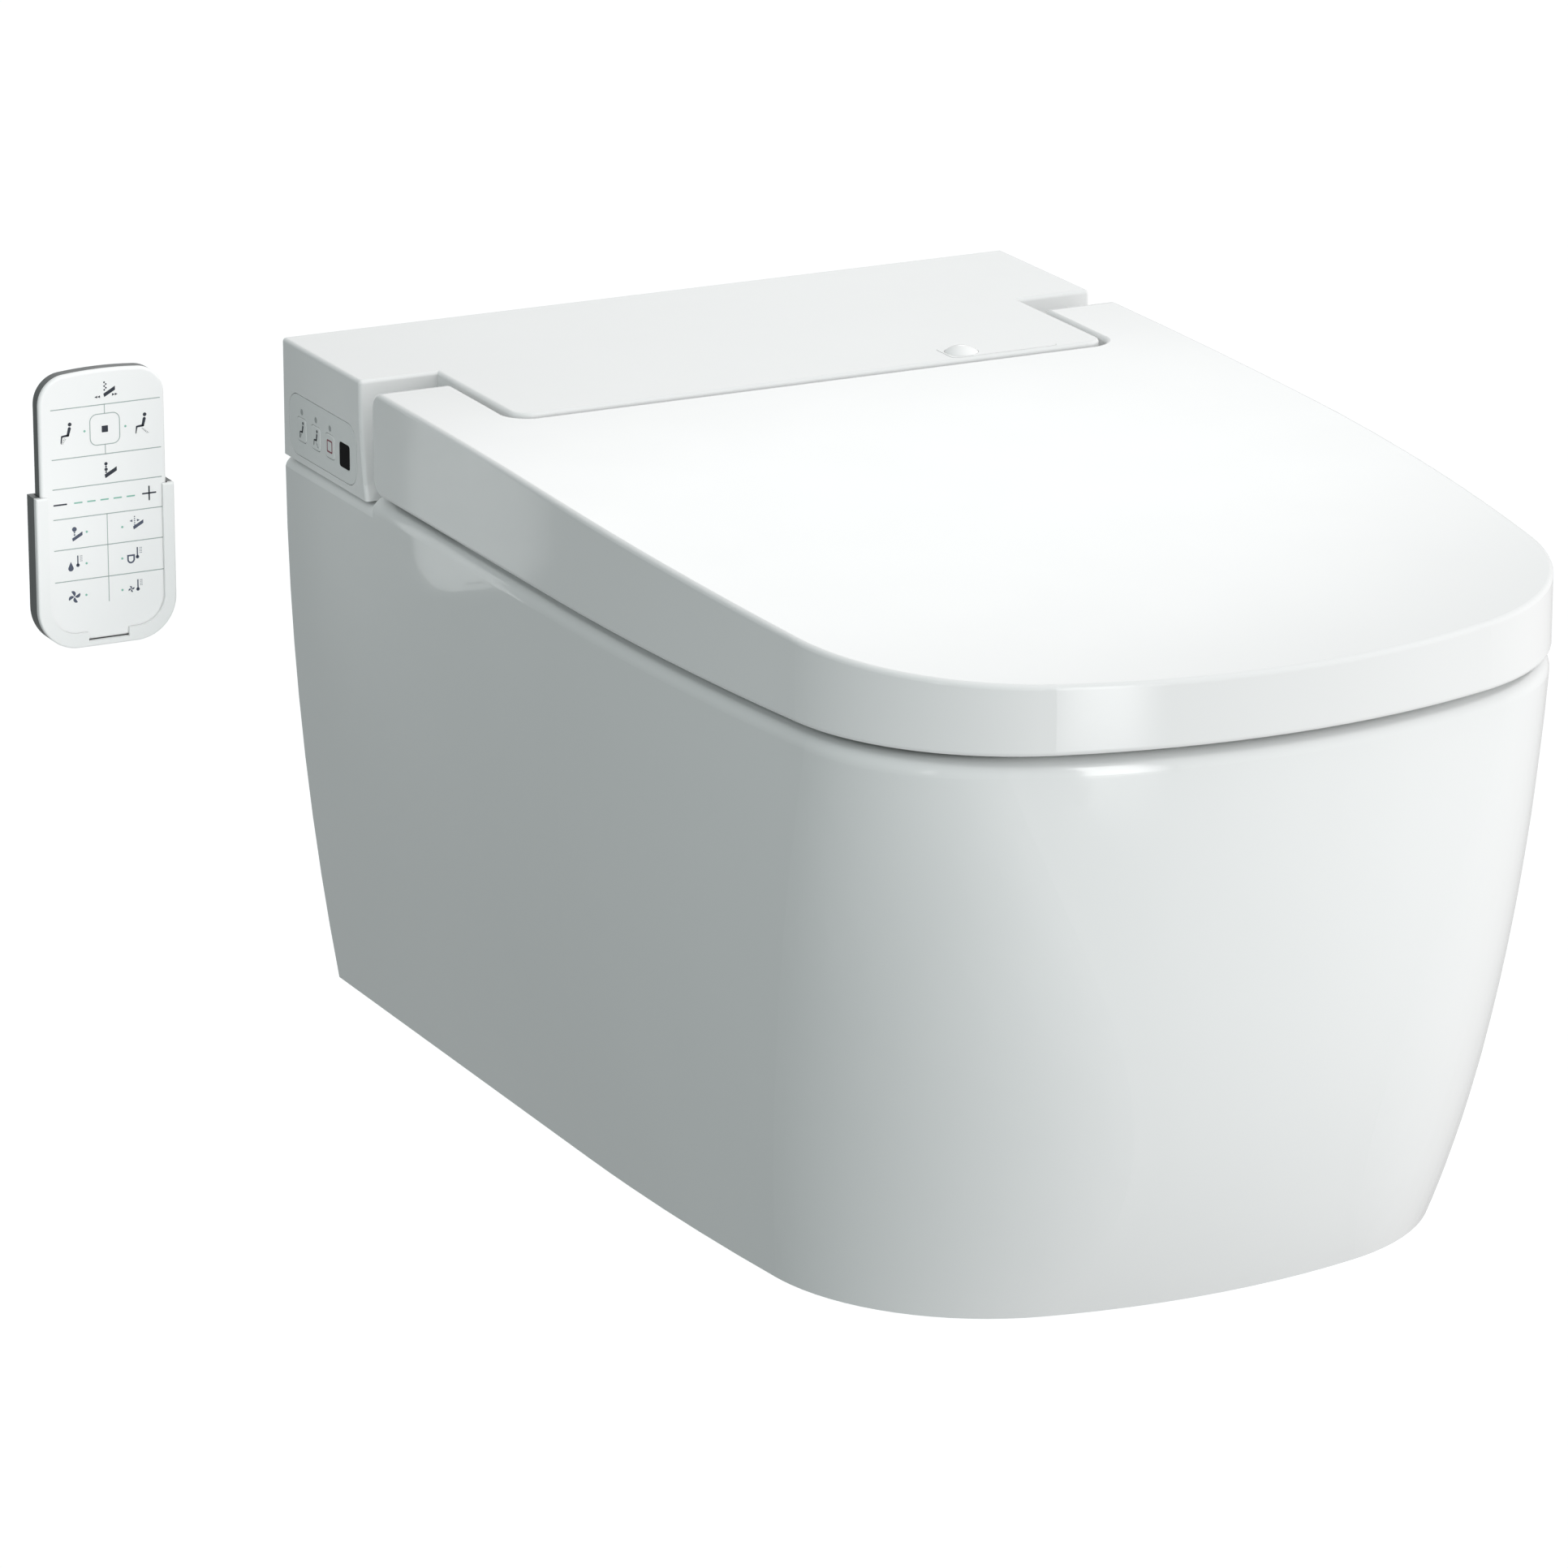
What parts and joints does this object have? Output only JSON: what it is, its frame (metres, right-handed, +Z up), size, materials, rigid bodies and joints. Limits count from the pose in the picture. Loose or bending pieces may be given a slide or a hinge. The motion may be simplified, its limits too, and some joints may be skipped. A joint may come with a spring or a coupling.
{
  "type": "electric bidet seat on wall-hung pan",
  "caption": "Wall-hung ceramic toilet with a built-in washing seat, soft-close lid, side control panel, sliding spray nozzle and a remote control in a wall holder.",
  "frame": {"origin": "on the wall face, midway between the two studs that the pan hangs on", "axes": "+Z up, -Y to the front away from the wall, +X to the right as seen from the front; the control panel is on the -X side"},
  "size_m": [0.511, 0.615, 0.3218],
  "materials": {
    "ceramic": "glossy white glaze",
    "white_plastic": "satin white moulded plastic",
    "grey_plastic": "fine matt grain",
    "panel_plastic": "satin film",
    "clear_plastic": "clear, glossy",
    "black_window": "infrared-passing black, glossy",
    "foam": "open cell",
    "steel": "brushed",
    "dark_plastic": "matt moulded",
    "board": "green circuit board",
    "brass": "machined",
    "rubber": "soft moulded",
    "foil": "foil"
  },
  "bodies": {
    "fixed": {"ceramic_pan": "ceramic", "ceramic_deck": "ceramic", "ceramic_floor": "ceramic", "ceramic_rear_wall": "ceramic", "ceramic_bowl": "ceramic", "ceramic_trapway": "ceramic", "ceramic_flush_inlet": "ceramic", "stud_sleeves": "grey_plastic", "housing_base": "grey_plastic", "nozzle_cradle": "grey_plastic", "holder_tray": "grey_plastic", "housing_cover": "white_plastic", "holder_bezel": "white_plastic", "control_panel": "panel_plastic", "name_plate": "panel_plastic", "indicator_lights": "clear_plastic", "sensor_dome": "clear_plastic", "infrared_window": "black_window", "housing_gasket": "foam", "carbon_filter": "foam", "housing_bolts": "steel", "hinge_pin_left": "steel", "hinge_pin_right": "steel", "hinge_damper_left": "dark_plastic", "hinge_damper_right": "dark_plastic", "nozzle_motor": "dark_plastic", "water_pump": "dark_plastic", "blower_housing": "dark_plastic", "blower_motor": "dark_plastic", "air_duct": "dark_plastic", "power_supply": "dark_plastic", "cable_gland": "dark_plastic", "water_heater": "dark_plastic", "panel_switch_board": "board", "control_board": "board", "water_inlet": "brass", "solenoid_valve": "brass", "water_hose": "rubber"},
    "lid": {"lid": "white_plastic", "lid_inner_panel": "white_plastic", "lid_bumpers": "rubber"},
    "seat": {"seat_top": "white_plastic", "seat_base": "white_plastic", "seat_heater_foil": "foil", "seat_bumpers": "rubber"},
    "nozzle": {"nozzle_wand": "steel", "nozzle_tip": "white_plastic"},
    "rear_wash_button": {"rear_wash_button": "panel_plastic"},
    "front_wash_button": {"front_wash_button": "panel_plastic"},
    "stop_button": {"stop_button": "panel_plastic"},
    "impeller": {"blower_impeller": "dark_plastic"},
    "remote": {"remote_front": "white_plastic", "remote_back": "grey_plastic", "battery_door": "grey_plastic", "remote_key_mat": "rubber", "remote_board": "board", "remote_battery": "steel"}
  },
  "joints": [
    {"name": "lid_hinge", "type": "hinge", "parent": "fixed", "child": "lid", "pos_m": [0, -0.121, 0.112], "axis": [-1, 0, 0], "range_deg": [0, 100]},
    {"name": "seat_hinge", "type": "hinge", "parent": "fixed", "child": "seat", "pos_m": [0, -0.121, 0.112], "axis": [-1, 0, 0], "range_deg": [0, 96]},
    {"name": "nozzle_slide", "type": "slide", "parent": "fixed", "child": "nozzle", "axis": [0, -0.9659, -0.2588], "range_m": [0, 0.11]},
    {"name": "rear_wash_button_press", "type": "slide", "parent": "fixed", "child": "rear_wash_button", "axis": [1, 0, 0], "range_m": [0, 0.0008], "stiffness_N_per_m": 600, "springref_m": -0.0004},
    {"name": "front_wash_button_press", "type": "slide", "parent": "fixed", "child": "front_wash_button", "axis": [1, 0, 0], "range_m": [0, 0.0008], "stiffness_N_per_m": 600, "springref_m": -0.0004},
    {"name": "stop_button_press", "type": "slide", "parent": "fixed", "child": "stop_button", "axis": [1, 0, 0], "range_m": [0, 0.0008], "stiffness_N_per_m": 600, "springref_m": -0.0004},
    {"name": "impeller_spin", "type": "hinge", "parent": "fixed", "child": "impeller", "pos_m": [0.068, -0.047, 0.095], "axis": [0, 0, 1], "continuous": true},
    {"name": "remote_lift", "type": "slide", "parent": "fixed", "child": "remote", "axis": [0, 0, 1], "range_m": [0, 0.09]}
  ],
  "couplings": [
    {"joint": "seat_hinge", "follows": "lid_hinge", "ratio": 0.96}
  ]
}
